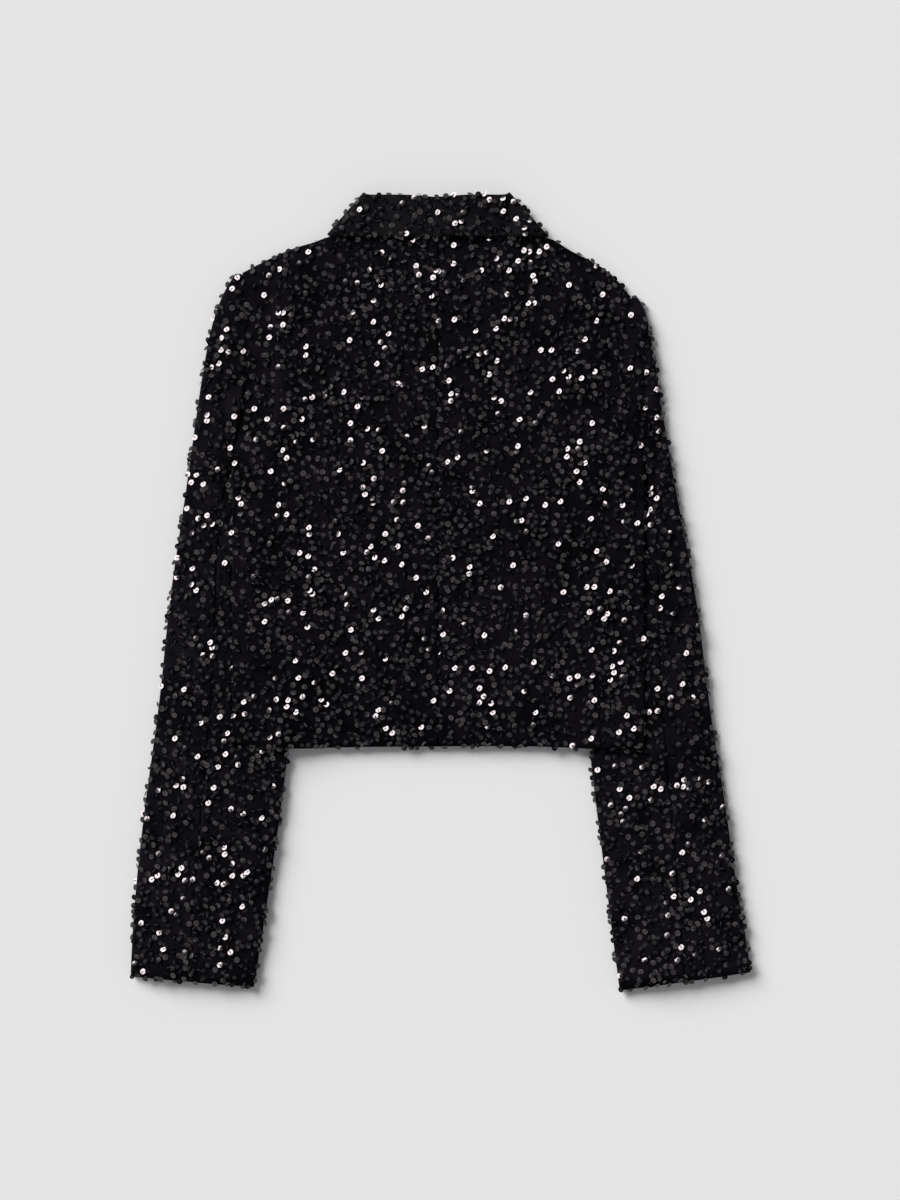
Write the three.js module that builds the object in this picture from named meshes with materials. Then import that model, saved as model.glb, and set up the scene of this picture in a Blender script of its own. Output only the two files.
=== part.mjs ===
// A cropped, collared blazer of sequinned velvet, laid face down with its sleeves straight.
// Millimetres, +X to the wearer's right, +Y to the collar, +Z up out of the back.
import * as THREE from "three";

// Cloth and the heights of its layers, each at the middle of the wall.
const CLOTH = 2;
const SEAM_GAP = 0.3;
const FLOOR_LAYER = CLOTH / 2;
const LAYER_STEP = 2.3;
const BACK_LAYER = 6.2;
const SLEEVE_LAYER = 6.4;
const SIDE_LAYER = 8.8;
const SIDE_FOLD_RADIUS = 1.4;
const BACK_OVER_SLEEVE = SIDE_LAYER + 2 * SIDE_FOLD_RADIUS;
const FALL_LAYER = 8.6;

// Body sizes.
const SIDE_STRIP = 28;
const CENTRE_BACK_X = -2;
const CENTRE_LEFT = CENTRE_BACK_X - SEAM_GAP / 2;
const CENTRE_RIGHT = CENTRE_BACK_X + SEAM_GAP / 2;
const HEM_CENTRE_Y = -139.5;
const STEP_RUN = 30;
const STEP_CLEARANCE = 2;
const SHOULDER_DROP = 2.7;
const SHOULDER_ROLL = 10;
const UNDERARM = {
  wrapStart: 128, wrapRun: 36, liftStart: 172, liftRun: 46, frontLiftStart: 118, frontLiftRun: 34,
};
const FRONT_OVERLAP = 20;
const RAISE_RUN = 12;

// Collar sizes.
const NECK_SEAM_Y = 322;
const FALL_EDGE_Y = 317;
const ROLL_Y = 354.5;
const ROLL_DIP = 2.4;
const STAND_HALF_WIDTH = 50;
const COLLAR_CENTRE_X = -4;
const LAPEL_START_Y = 72;

const LEFT = {
  name: "left",
  sign: -1,
  colour: 0x141318,
  // The side of the body, from the hem to the underarm, then the armhole to the shoulder.
  bodyEdge: [
    { x: -185.7, y: -136.4 }, { x: -186.0, y: -20 }, { x: -185.9, y: 70 }, { x: -185.7, y: 108 },
    { x: -182.7, y: 135 }, { x: -177.3, y: 171 }, { x: -174.6, y: 216 }, { x: -175.5, y: 252 },
    { x: -178.2, y: 285 },
  ],
  hem: [
    { x: CENTRE_LEFT, y: HEM_CENTRE_Y }, { x: -80, y: -140.5 }, { x: -136, y: -141.5 },
    { x: -185.7, y: -136.4 },
  ],
  shoulder: [
    { x: CENTRE_LEFT, y: NECK_SEAM_Y }, { x: -34, y: NECK_SEAM_Y }, { x: -64, y: NECK_SEAM_Y - 1 },
    { x: -90, y: 313 }, { x: -106, y: 311 }, { x: -121, y: 310.5 }, { x: -145, y: 301.8 },
    { x: -178.2, y: 285 },
  ],
  frontEdge: [
    { x: -157.4, y: -138 }, { x: -157.6, y: -20 }, { x: -157.4, y: 66 }, { x: -156.5, y: 84 },
    { x: -155.5, y: 94 }, { x: -159, y: 101 }, { x: -166, y: 107 }, { x: -172, y: 113 },
    { x: -181.5, y: 136 }, { x: -177.3, y: 171 }, { x: -174.6, y: 216 }, { x: -175.5, y: 252 },
    { x: -178.0, y: 284 },
  ],
  frontHem: [{ x: 8, y: -140 }, { x: -80, y: -140.5 }, { x: -157.4, y: -138 }],
  neckEdge: [{ x: 8, y: -140 }, { x: 8, y: -8 }, { x: -5, y: 45 }, { x: -58, y: 270 }, { x: -66, y: 306 }],
  frontShoulder: [{ x: -66, y: 306 }, { x: -106, y: 306 }, { x: -145, y: 298.5 }, { x: -178.0, y: 284 }],
  // The sleeve's two folds, at the turn of the cloth.
  outerFold: [
    { x: -275.3, y: -343.4 }, { x: -271.7, y: -278.6 }, { x: -261.8, y: -188.6 }, { x: -249.2, y: -98.6 },
    { x: -240.2, y: -8.6 }, { x: -226.7, y: 81.5 }, { x: -214.1, y: 171.5 }, { x: -205.2, y: 225.5 },
    { x: -197.9, y: 254.3 }, { x: -189, y: 272 }, { x: -182.8, y: 284 },
  ],
  innerFold: [
    { x: -172, y: -354 }, { x: -155, y: -250 }, { x: -140.5, y: -141.8 }, { x: -136, y: -89.6 },
    { x: -142.3, y: -26.6 }, { x: -155.7, y: 27.5 }, { x: -173.7, y: 72.5 }, { x: -187, y: 106.6 },
  ],
  // The seam down the back of the arm, with the one under it on the lower face.
  armSeam: [
    { x: -226, y: -350.5 }, { x: -219, y: -250 }, { x: -209, y: -142 }, { x: -203, y: -60 },
    { x: -201, y: 20 }, { x: -197, y: 80 }, { x: -189.5, y: 112 },
  ],
  armhole: [
    { x: -183.9, y: 135 }, { x: -177.9, y: 171 }, { x: -175.2, y: 216 }, { x: -176.1, y: 252 },
    { x: -178.8, y: 284 },
  ],
  underarmY: 108,
  cuffSlope: -0.09,
  armholeTop: 285,
  collarFold: { topX: -71, bottomX: -103.5 },
  lapelPoint: { x: -107, y: 238 },
};

const RIGHT = {
  name: "right",
  sign: 1,
  colour: 0x121218,
  bodyEdge: [
    { x: 181.2, y: -143.6 }, { x: 181.2, y: -20 }, { x: 181.2, y: 60 }, { x: 181.2, y: 104 },
    { x: 177, y: 128 }, { x: 168.3, y: 153.5 }, { x: 162.9, y: 193 }, { x: 163.8, y: 234.5 },
    { x: 170.1, y: 263.5 },
  ],
  hem: [
    { x: CENTRE_RIGHT, y: HEM_CENTRE_Y }, { x: 70, y: -139.5 }, { x: 132, y: -141.5 },
    { x: 181.2, y: -143.6 },
  ],
  shoulder: [
    { x: CENTRE_RIGHT, y: NECK_SEAM_Y }, { x: 28, y: NECK_SEAM_Y }, { x: 56, y: NECK_SEAM_Y - 1 },
    { x: 83, y: 313 }, { x: 98, y: 310 }, { x: 113, y: 305.5 }, { x: 133.2, y: 296.5 }, { x: 153, y: 284 },
    { x: 170.1, y: 263.5 },
  ],
  frontEdge: [
    { x: 152.8, y: -141 }, { x: 152.8, y: -20 }, { x: 152.5, y: 64 }, { x: 152, y: 82 },
    { x: 151, y: 93 }, { x: 154.5, y: 100 }, { x: 161.5, y: 106.5 }, { x: 168, y: 113 },
    { x: 175.5, y: 130 }, { x: 168.3, y: 153.5 }, { x: 162.9, y: 193 }, { x: 163.8, y: 234.5 },
    { x: 169.8, y: 262.5 },
  ],
  frontHem: [{ x: -12, y: -140 }, { x: 70, y: -140 }, { x: 152.8, y: -141 }],
  neckEdge: [{ x: -12, y: -140 }, { x: -12, y: -8 }, { x: 0.7, y: 45 }, { x: 51, y: 270 }, { x: 59, y: 306 }],
  frontShoulder: [{ x: 59, y: 306 }, { x: 98, y: 303 }, { x: 135, y: 291 }, { x: 169.8, y: 262.5 }],
  outerFold: [
    { x: 274.7, y: -340.7 }, { x: 263.9, y: -278.6 }, { x: 251.3, y: -188.6 }, { x: 236.9, y: -98.6 },
    { x: 226.1, y: -8.6 }, { x: 209.0, y: 81.5 }, { x: 193.7, y: 171.5 }, { x: 185.6, y: 225.5 },
    { x: 180.5, y: 250 }, { x: 174.8, y: 262.5 },
  ],
  innerFold: [
    { x: 164.8, y: -357 }, { x: 150, y: -250 }, { x: 136.9, y: -143 }, { x: 132.4, y: -89.6 },
    { x: 138.7, y: -26.6 }, { x: 152.1, y: 27.5 }, { x: 170.1, y: 72.5 }, { x: 182.5, y: 103 },
  ],
  armSeam: [
    { x: 219, y: -350.5 }, { x: 212, y: -250 }, { x: 202, y: -142 }, { x: 197, y: -60 },
    { x: 195, y: 20 }, { x: 191.5, y: 80 }, { x: 184.9, y: 108 },
  ],
  armhole: [
    { x: 178.2, y: 128 }, { x: 168.9, y: 153.5 }, { x: 163.5, y: 193 }, { x: 164.4, y: 234.5 },
    { x: 170.7, y: 262.5 },
  ],
  underarmY: 104,
  cuffSlope: 0.14,
  armholeTop: 263.5,
  collarFold: { topX: 63, bottomX: 96.3 },
  lapelPoint: { x: 100, y: 238 },
};

// Soft ridges of the loose cloth: where each lies, its direction, half sizes and rise.
const RIDGES = [
  { x: 140, y: 96, turn: 0.5, length: 26, width: 7, rise: 1.2 },
  { x: -150, y: 60, turn: 1.3, length: 40, width: 10, rise: 1.0 },
  { x: 90, y: -60, turn: 1.2, length: 60, width: 16, rise: 1.0 },
  { x: -70, y: 30, turn: 1.8, length: 70, width: 18, rise: 0.9 },
  { x: -221, y: -210, turn: 1.6, length: 70, width: 9, rise: 1.2 },
  { x: 214, y: -230, turn: 1.5, length: 80, width: 9, rise: 1.1 },
  { x: 196, y: 40, turn: 1.4, length: 60, width: 8, rise: 1.1 },
  { x: -208, y: 20, turn: 1.7, length: 60, width: 8, rise: 1.2 },
];

function smooth(value) {
  const v = Math.min(1, Math.max(0, value));
  return v * v * (3 - 2 * v);
}

function curve(points) {
  const vectors = points.map((point) => new THREE.Vector3(point.x, point.y, 0));
  return new THREE.CatmullRomCurve3(vectors, false, "centripetal");
}

// A smooth curve through points that rise in y, read as x for a given y.
function lookup(points) {
  const samples = curve(points).getPoints(240);
  return (y) => xAt(samples, y);
}

// The x of a curve where it passes a height y, the curve's y running one way.
function xAt(points, y) {
  const sorted = [...points].sort((a, b) => a.y - b.y);
  if (y <= sorted[0].y) return sorted[0].x;
  for (let i = 1; i < sorted.length; i += 1) {
    const low = sorted[i - 1];
    const high = sorted[i];
    if (y <= high.y) return low.x + ((high.x - low.x) * (y - low.y)) / (high.y - low.y);
  }
  return sorted[sorted.length - 1].x;
}

function ridges(x, y) {
  let rise = 0;
  for (const ridge of RIDGES) {
    const dx = x - ridge.x;
    const dy = y - ridge.y;
    const along = (dx * Math.cos(ridge.turn) + dy * Math.sin(ridge.turn)) / ridge.length;
    const across = (dy * Math.cos(ridge.turn) - dx * Math.sin(ridge.turn)) / ridge.width;
    rise += ridge.rise * Math.exp(-along * along - across * across);
  }
  return rise;
}

// A flat patch between four curves: s runs from the first edge to the second, t from foot to head.
function patch(first, second, foot, head) {
  const corners = [first.getPointAt(0), second.getPointAt(0), first.getPointAt(1), second.getPointAt(1)];
  return (s, t) => {
    const point = new THREE.Vector3();
    point.addScaledVector(first.getPointAt(t), 1 - s);
    point.addScaledVector(second.getPointAt(t), s);
    point.addScaledVector(foot.getPointAt(s), 1 - t);
    point.addScaledVector(head.getPointAt(s), t);
    point.addScaledVector(corners[0], -(1 - s) * (1 - t));
    point.addScaledVector(corners[1], -s * (1 - t));
    point.addScaledVector(corners[2], -(1 - s) * t);
    point.addScaledVector(corners[3], -s * t);
    return point;
  };
}

// A wall of cloth on both sides of a grid of points, closed by a rim round its edge.
function wall(grid) {
  const rows = grid.length;
  const columns = grid[0].length;
  const outer = [];
  const inner = [];
  for (let j = 0; j < rows; j += 1) {
    for (let i = 0; i < columns; i += 1) {
      const along = grid[j][Math.min(i + 1, columns - 1)].clone().sub(grid[j][Math.max(i - 1, 0)]);
      const up = grid[Math.min(j + 1, rows - 1)][i].clone().sub(grid[Math.max(j - 1, 0)][i]);
      const normal = along.cross(up).normalize();
      outer.push(grid[j][i].clone().addScaledVector(normal, CLOTH / 2));
      inner.push(grid[j][i].clone().addScaledVector(normal, -CLOTH / 2));
    }
  }
  const points = outer.concat(inner);
  const under = outer.length;
  const triangles = [];
  const quad = (a, b, c, d) => triangles.push([a, b, c], [a, c, d]);
  for (let j = 0; j < rows - 1; j += 1) {
    for (let i = 0; i < columns - 1; i += 1) {
      const a = j * columns + i;
      quad(a, a + 1, a + columns + 1, a + columns);
      quad(under + a, under + a + columns, under + a + columns + 1, under + a + 1);
    }
  }
  const rim = [];
  for (let i = 0; i < columns - 1; i += 1) rim.push(i);
  for (let j = 0; j < rows - 1; j += 1) rim.push(j * columns + columns - 1);
  for (let i = columns - 1; i > 0; i -= 1) rim.push((rows - 1) * columns + i);
  for (let j = rows - 1; j > 0; j -= 1) rim.push(j * columns);
  rim.forEach((a, index) => {
    const b = rim[(index + 1) % rim.length];
    quad(b, a, under + a, under + b);
  });
  return closedGeometry(points, triangles);
}

function closedGeometry(points, triangles) {
  let volume = 0;
  for (const [a, b, c] of triangles) {
    volume += points[a].dot(points[b].clone().cross(points[c]));
  }
  const turned = volume < 0 ? triangles.map(([a, b, c]) => [a, c, b]) : triangles;
  const geometry = new THREE.BufferGeometry();
  geometry.setAttribute("position", new THREE.Float32BufferAttribute(points.flatMap((p) => p.toArray()), 3));
  geometry.setIndex(turned.flat());
  return geometry;
}

// Points at even steps along a path: most of them up to the turn, the rest beyond it.
function resample(path, turnIndex, flatSteps, turnSteps) {
  const length = [0];
  for (let i = 1; i < path.length; i += 1) length.push(length[i - 1] + path[i].distanceTo(path[i - 1]));
  const total = length[length.length - 1];
  const turn = Math.min(length[turnIndex] - CLOTH * 2, total - CLOTH * 2);
  const stops = [];
  for (let i = 0; i < flatSteps; i += 1) stops.push((turn * i) / flatSteps);
  for (let i = 0; i <= turnSteps; i += 1) stops.push(turn + ((total - turn) * i) / turnSteps);
  return stops.map((stop) => {
    let i = 1;
    while (i < path.length - 1 && length[i] < stop) i += 1;
    const part = (stop - length[i - 1]) / (length[i] - length[i - 1]);
    return path[i - 1].clone().lerp(path[i], part);
  });
}

// How far the body has climbed over the sleeve and side strip under it: 0 off them, 1 on them.
function climb(side, x, y) {
  const inside = Math.min(Math.abs(xAt(side.innerFold, y)), Math.abs(side.frontEdge[0].x));
  const start = inside - STEP_RUN - STEP_CLEARANCE;
  return smooth((Math.abs(x) - start) / STEP_RUN);
}

function edgeHeight(side, y) {
  const lift = smooth((UNDERARM.liftStart - y) / UNDERARM.liftRun);
  const drop = smooth((y - side.armholeTop + SHOULDER_ROLL) / SHOULDER_ROLL);
  return BACK_LAYER + (BACK_OVER_SLEEVE - BACK_LAYER) * lift - SHOULDER_DROP * drop;
}

function back(side) {
  const ROWS = [
    0, 0.06, 0.13, 0.2, 0.27, 0.34, 0.41, 0.47, 0.52, 0.56, 0.585, 0.61, 0.64, 0.68, 0.73, 0.79, 0.85, 0.91,
    0.95, 0.975, 0.988, 1,
  ];
  const SHOULDER_SHARE = 0.025;
  const SHOULDER_START_X = 118;
  const SHOULDER_BLEND = 20;
  const CALM_START_X = 150;
  const CALM_BLEND = 25;
  const FLAT_POINTS = 40;
  const ARC_POINTS = 10;
  const centre = curve([side.hem[0], side.shoulder[0]]);
  const plan = patch(centre, curve(side.bodyEdge), curve(side.hem), curve(side.shoulder));
  const wrapLength = Math.PI * SIDE_FOLD_RADIUS + SIDE_STRIP;
  const grid = ROWS.map((t) => {
    const path = [];
    for (let i = 0; i <= FLAT_POINTS; i += 1) {
      const point = plan(i / FLAT_POINTS, t);
      const outward = Math.abs(point.x);
      const belowArm = smooth((UNDERARM.liftStart - point.y) / UNDERARM.liftRun);
      const lift = climb(side, point.x, point.y) * belowArm;
      const atShoulder = smooth((t - 1 + SHOULDER_SHARE) / SHOULDER_SHARE);
      const drop = atShoulder * smooth((outward - SHOULDER_START_X) / SHOULDER_BLEND);
      point.z = BACK_LAYER + (BACK_OVER_SLEEVE - BACK_LAYER) * lift - SHOULDER_DROP * drop;
      point.z += ridges(point.x, point.y) * (1 - smooth((outward - CALM_START_X) / CALM_BLEND));
      path.push(point);
    }
    const edge = path[FLAT_POINTS];
    const wrap = wrapLength * smooth((UNDERARM.wrapStart - edge.y) / UNDERARM.wrapRun);
    const arc = Math.min(wrap, Math.PI * SIDE_FOLD_RADIUS);
    for (let i = 1; i <= ARC_POINTS && wrap > 0; i += 1) {
      const angle = (arc / SIDE_FOLD_RADIUS) * (i / ARC_POINTS);
      const outward = side.sign * SIDE_FOLD_RADIUS * Math.sin(angle);
      const down = SIDE_FOLD_RADIUS * (1 - Math.cos(angle));
      path.push(new THREE.Vector3(edge.x + outward, edge.y, edge.z - down));
    }
    if (wrap > arc) {
      path.push(new THREE.Vector3(edge.x - side.sign * (wrap - arc), edge.y, edge.z - 2 * SIDE_FOLD_RADIUS));
    }
    return resample(path, FLAT_POINTS, 13, 9);
  });
  return wall(grid);
}

// How far a front is lifted by the lapel and collar under it, or by the other front.
function frontRaise(side, x, y) {
  const outward = side.sign * (x - CENTRE_BACK_X);
  const lapelLength = side.lapelPoint.y - LAPEL_START_Y;
  const reach = Math.abs(side.lapelPoint.x) * smooth((y - LAPEL_START_Y + 30) / lapelLength) + 8;
  const pastStart = smooth((y - LAPEL_START_Y + RAISE_RUN + 14) / RAISE_RUN);
  const overLapel = (1 - smooth((outward - reach) / 18)) * pastStart;
  const overFront = (1 - smooth((outward - FRONT_OVERLAP + 6) / 24)) * (1 - smooth((y - 50) / 20));
  return side === LEFT ? Math.max(overLapel, overFront) : overLapel;
}

function front(side) {
  const ROWS = 24;
  const COLUMNS = 14;
  const hem = curve(side.frontHem);
  const plan = patch(curve(side.neckEdge), curve(side.frontEdge), hem, curve(side.frontShoulder));
  const grid = [];
  for (let j = 0; j <= ROWS; j += 1) {
    const row = [];
    for (let i = 0; i <= COLUMNS; i += 1) {
      const point = plan(i / COLUMNS, j / ROWS);
      const floor = FLOOR_LAYER + LAYER_STEP * frontRaise(side, point.x, point.y);
      const share = smooth((UNDERARM.frontLiftStart - point.y) / UNDERARM.frontLiftRun);
      const lift = climb(side, point.x, point.y) * share;
      point.z = floor + (SIDE_LAYER - floor) * lift;
      row.push(point);
    }
    grid.push(row);
  }
  return wall(grid);
}

function lapel(side) {
  const ROWS = 8;
  const COLUMNS = 4;
  const rollTop = xAt(side.neckEdge, side.lapelPoint.y);
  const rollFoot = xAt(side.neckEdge, LAPEL_START_Y);
  const rollStart = { x: rollFoot + side.sign, y: LAPEL_START_Y };
  const rollEnd = { x: rollTop + side.sign, y: side.lapelPoint.y - 4 };
  const edgeStart = { x: rollFoot + side.sign * 6, y: LAPEL_START_Y + 2 };
  const edgeMiddle = { x: (rollFoot + side.lapelPoint.x) / 2 + side.sign * 5, y: 140 };
  const edge = curve([edgeStart, edgeMiddle, side.lapelPoint]);
  const head = curve([rollEnd, side.lapelPoint]);
  const plan = patch(curve([rollStart, rollEnd]), edge, curve([rollStart, edgeStart]), head);
  const grid = [];
  for (let j = 0; j <= ROWS; j += 1) {
    const row = [];
    for (let i = 0; i <= COLUMNS; i += 1) {
      const point = plan(i / COLUMNS, j / ROWS);
      point.z = FLOOR_LAYER;
      row.push(point);
    }
    grid.push(row);
  }
  return wall(grid);
}

// One half of a sleeve: along the upper face to a fold, round it, and back along the lower face.
function sleeveHalf(side, isTop) {
  const ROW_SHARES = [
    0, 0.06, 0.13, 0.2, 0.27, 0.34, 0.41, 0.48, 0.55, 0.62, 0.68, 0.74, 0.78, 0.82, 0.86, 0.9, 0.94, 0.97,
    0.985, 1,
  ];
  const FACE_STEPS = 5;
  const ARC_STEPS = 5;
  const CUFF_BLEND = 90;
  const SEAM_BLEND = 24;
  const ARMHOLE_FOOT_Y = 126;
  const ARMHOLE_BLEND = 14;
  const HEAD_Y = 60;
  const HEAD_BLEND = 30;
  const seamAt = lookup([...side.armSeam, ...side.armhole]);
  const outward = isTop ? side.sign : -side.sign;
  const foldAt = lookup(isTop ? side.outerFold : side.innerFold);
  const top = side.armhole[side.armhole.length - 1].y;
  const foot = side.armSeam[0].y;
  const all = ROW_SHARES.map((share) => foot + (top - foot) * share);
  const heights = isTop ? all : [...all.filter((y) => y < side.underarmY), side.underarmY];
  const upper = (x, y) => {
    const fromSeam = Math.abs(x) - Math.abs(seamAt(y));
    const beside = 1 - smooth(fromSeam / SEAM_BLEND);
    const atBack = smooth((y - ARMHOLE_FOOT_Y) / ARMHOLE_BLEND) * beside;
    const clearOfHead = smooth((fromSeam + HEAD_Y - y) / HEAD_BLEND);
    const soft = isUnderBody(side, x, y) ? 0 : ridges(x, y) * clearOfHead;
    return SLEEVE_LAYER + (edgeHeight(side, y) - SLEEVE_LAYER) * atBack + soft;
  };
  const cuffShift = (x, y) => {
    const nearCuff = 1 - smooth((y - foot) / CUFF_BLEND);
    return side.cuffSlope * (x - side.armSeam[0].x) * nearCuff;
  };
  const grid = heights.map((y) => {
    const from = seamAt(y) + (outward * SEAM_GAP) / 2;
    const turn = foldAt(y);
    const row = [];
    for (let i = 0; i < FACE_STEPS; i += 1) {
      const x = from + ((turn - from) * i) / FACE_STEPS;
      row.push(new THREE.Vector3(x, y + cuffShift(x, y), upper(x, y)));
    }
    const radius = (upper(turn, y) - FLOOR_LAYER) / 2;
    for (let i = 0; i <= ARC_STEPS; i += 1) {
      const angle = (Math.PI * i) / ARC_STEPS;
      const x = turn + outward * radius * Math.sin(angle);
      row.push(new THREE.Vector3(x, y + cuffShift(x, y), FLOOR_LAYER + radius * (1 + Math.cos(angle))));
    }
    for (let i = FACE_STEPS - 1; i >= 0; i -= 1) {
      const x = from + ((turn - from) * i) / FACE_STEPS;
      row.push(new THREE.Vector3(x, y + cuffShift(x, y), FLOOR_LAYER));
    }
    return row;
  });
  return wall(grid);
}

function isUnderBody(side, x, y) {
  return y > -165 && Math.abs(x) < Math.abs(xAt(side.bodyEdge, y)) + 12;
}

// The collar's fall: across the back, down round each slanted side fold and under the fronts.
function collarFall() {
  const radius = (FALL_LAYER - FLOOR_LAYER) / 2;
  const FRONT_LEAF = 62;
  const stations = [];
  const halfFall = (side) => {
    const list = [];
    const { topX, bottomX } = side.collarFold;
    const turnTop = topX - side.sign * (radius + CLOTH / 2);
    const turnBottom = bottomX - side.sign * (radius + CLOTH / 2);
    for (let i = 1; i <= 5; i += 1) {
      const share = i / 5;
      const rollY = ROLL_Y - ROLL_DIP * Math.exp(-share * share * 20);
      list.push([
        new THREE.Vector3(COLLAR_CENTRE_X + (turnTop - COLLAR_CENTRE_X) * share, rollY, FALL_LAYER),
        new THREE.Vector3(COLLAR_CENTRE_X + (turnBottom - COLLAR_CENTRE_X) * share, FALL_EDGE_Y, FALL_LAYER),
      ]);
    }
    const slope = new THREE.Vector2(turnBottom - turnTop, FALL_EDGE_Y - ROLL_Y).normalize();
    const outX = -slope.y * side.sign;
    const outY = slope.x * side.sign;
    for (let i = 1; i <= 6; i += 1) {
      const angle = (Math.PI * i) / 6;
      const reach = radius * Math.sin(angle);
      const z = FLOOR_LAYER + radius * (1 + Math.cos(angle));
      list.push([
        new THREE.Vector3(turnTop + outX * reach, ROLL_Y + outY * reach, z),
        new THREE.Vector3(turnBottom + outX * reach, FALL_EDGE_Y + outY * reach, z),
      ]);
    }
    for (let i = 1; i <= 4; i += 1) {
      const down = (FRONT_LEAF * i) / 4;
      list.push([
        new THREE.Vector3(turnTop - side.sign * down * 0.08, ROLL_Y - down * 1.25, FLOOR_LAYER),
        new THREE.Vector3(turnBottom - side.sign * down * 0.06, FALL_EDGE_Y - down, FLOOR_LAYER),
      ]);
    }
    return list;
  };
  stations.push(...halfFall(LEFT).reverse());
  stations.push([
    new THREE.Vector3(COLLAR_CENTRE_X, ROLL_Y - ROLL_DIP, FALL_LAYER),
    new THREE.Vector3(COLLAR_CENTRE_X, FALL_EDGE_Y, FALL_LAYER),
  ]);
  stations.push(...halfFall(RIGHT));
  const WIDTH_STEPS = 4;
  const grid = [];
  for (let j = 0; j <= WIDTH_STEPS; j += 1) {
    grid.push(stations.map(([roll, edge]) => roll.clone().lerp(edge, j / WIDTH_STEPS)));
  }
  return wall(grid);
}

function collarStand() {
  const COLUMNS = 10;
  const ROWS = 3;
  const grid = [];
  for (let j = 0; j <= ROWS; j += 1) {
    const row = [];
    for (let i = 0; i <= COLUMNS; i += 1) {
      const x = COLLAR_CENTRE_X + STAND_HALF_WIDTH * ((2 * i) / COLUMNS - 1);
      const y = NECK_SEAM_Y + 2 * SEAM_GAP + (ROLL_Y - 4 - NECK_SEAM_Y) * (j / ROWS);
      row.push(new THREE.Vector3(x, y, BACK_LAYER));
    }
    grid.push(row);
  }
  return wall(grid);
}

function clothMesh(name, geometry, colour) {
  const material = new THREE.MeshStandardMaterial({ color: colour, roughness: 0.85, metalness: 0 });
  const mesh = new THREE.Mesh(geometry, material);
  mesh.name = name;
  return mesh;
}

const blazer = new THREE.Group();
for (const side of [LEFT, RIGHT]) {
  blazer.add(clothMesh(`back_${side.name}`, back(side), side.colour));
  blazer.add(clothMesh(`front_${side.name}`, front(side), side.colour));
  blazer.add(clothMesh(`lapel_${side.name}`, lapel(side), side.colour));
  blazer.add(clothMesh(`top_sleeve_${side.name}`, sleeveHalf(side, true), side.colour));
  blazer.add(clothMesh(`under_sleeve_${side.name}`, sleeveHalf(side, false), side.colour));
}
blazer.add(clothMesh("collar_fall", collarFall(), 0x1b1a20));
blazer.add(clothMesh("collar_stand", collarStand(), 0x17161c));

const box = new THREE.Box3().setFromObject(blazer);
const centre = box.getCenter(new THREE.Vector3());
blazer.position.set(-centre.x, -centre.y, -box.min.z);

export default blazer;
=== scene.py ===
import math

import bmesh
import bpy
import numpy as np
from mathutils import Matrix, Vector, noise
from mathutils.bvhtree import BVHTree
from mathutils.kdtree import KDTree


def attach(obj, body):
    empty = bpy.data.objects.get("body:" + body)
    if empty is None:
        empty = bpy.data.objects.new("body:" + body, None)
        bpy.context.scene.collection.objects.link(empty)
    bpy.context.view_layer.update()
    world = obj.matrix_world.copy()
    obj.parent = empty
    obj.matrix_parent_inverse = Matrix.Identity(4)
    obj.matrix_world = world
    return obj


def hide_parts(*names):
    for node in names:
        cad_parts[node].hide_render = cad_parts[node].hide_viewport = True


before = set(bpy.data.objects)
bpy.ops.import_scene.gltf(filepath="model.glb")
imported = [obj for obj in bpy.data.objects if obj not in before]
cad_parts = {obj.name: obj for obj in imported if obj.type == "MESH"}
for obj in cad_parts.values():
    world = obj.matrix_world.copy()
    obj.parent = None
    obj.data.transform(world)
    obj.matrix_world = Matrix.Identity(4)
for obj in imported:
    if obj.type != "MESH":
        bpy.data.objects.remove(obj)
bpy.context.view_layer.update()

# A cropped blazer of black sequinned velvet, laid face down and seen from above.

# Backs
# Two panels of black velvet joined down the middle of the back. Each turns under at its side
# as far as the side seam, and lies over the sleeve, which makes a soft step in it.
PILE_GRAIN = 1500.0
CRUSH_GRAIN = 38.0


def velvet_pile():
    """The short pile of velvet: a fine grain, crushed here and there by handling."""
    group = bpy.data.node_groups.new("velvet pile", "ShaderNodeTree")
    for name, value in (("Grain", PILE_GRAIN), ("Crush", CRUSH_GRAIN), ("Depth", 0.5)):
        socket = group.interface.new_socket(name, in_out="INPUT", socket_type="NodeSocketFloat")
        socket.default_value = value
    group.interface.new_socket("Shade", in_out="OUTPUT", socket_type="NodeSocketFloat")
    group.interface.new_socket("Normal", in_out="OUTPUT", socket_type="NodeSocketVector")
    nodes, links = group.nodes, group.links
    given = nodes.new("NodeGroupInput")
    result = nodes.new("NodeGroupOutput")
    place = nodes.new("ShaderNodeTexCoord")
    grain = nodes.new("ShaderNodeTexNoise")
    grain.inputs["Detail"].default_value = 2.0
    crush = nodes.new("ShaderNodeTexNoise")
    crush.inputs["Detail"].default_value = 3.0
    crush.inputs["Distortion"].default_value = 0.8
    links.new(place.outputs["Object"], grain.inputs["Vector"])
    links.new(place.outputs["Object"], crush.inputs["Vector"])
    links.new(given.outputs["Grain"], grain.inputs["Scale"])
    links.new(given.outputs["Crush"], crush.inputs["Scale"])
    height = nodes.new("ShaderNodeMath")
    height.operation = "MULTIPLY_ADD"
    height.inputs[1].default_value = 0.45
    links.new(grain.outputs["Fac"], height.inputs[0])
    links.new(crush.outputs["Fac"], height.inputs[2])
    bump = nodes.new("ShaderNodeBump")
    bump.inputs["Distance"].default_value = 0.0012
    links.new(given.outputs["Depth"], bump.inputs["Strength"])
    links.new(height.outputs["Value"], bump.inputs["Height"])
    shade = nodes.new("ShaderNodeMath")
    shade.operation = "MULTIPLY"
    links.new(grain.outputs["Fac"], shade.inputs[0])
    links.new(crush.outputs["Fac"], shade.inputs[1])
    links.new(shade.outputs["Value"], result.inputs["Shade"])
    links.new(bump.outputs["Normal"], result.inputs["Normal"])
    return group


pile = velvet_pile()


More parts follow.
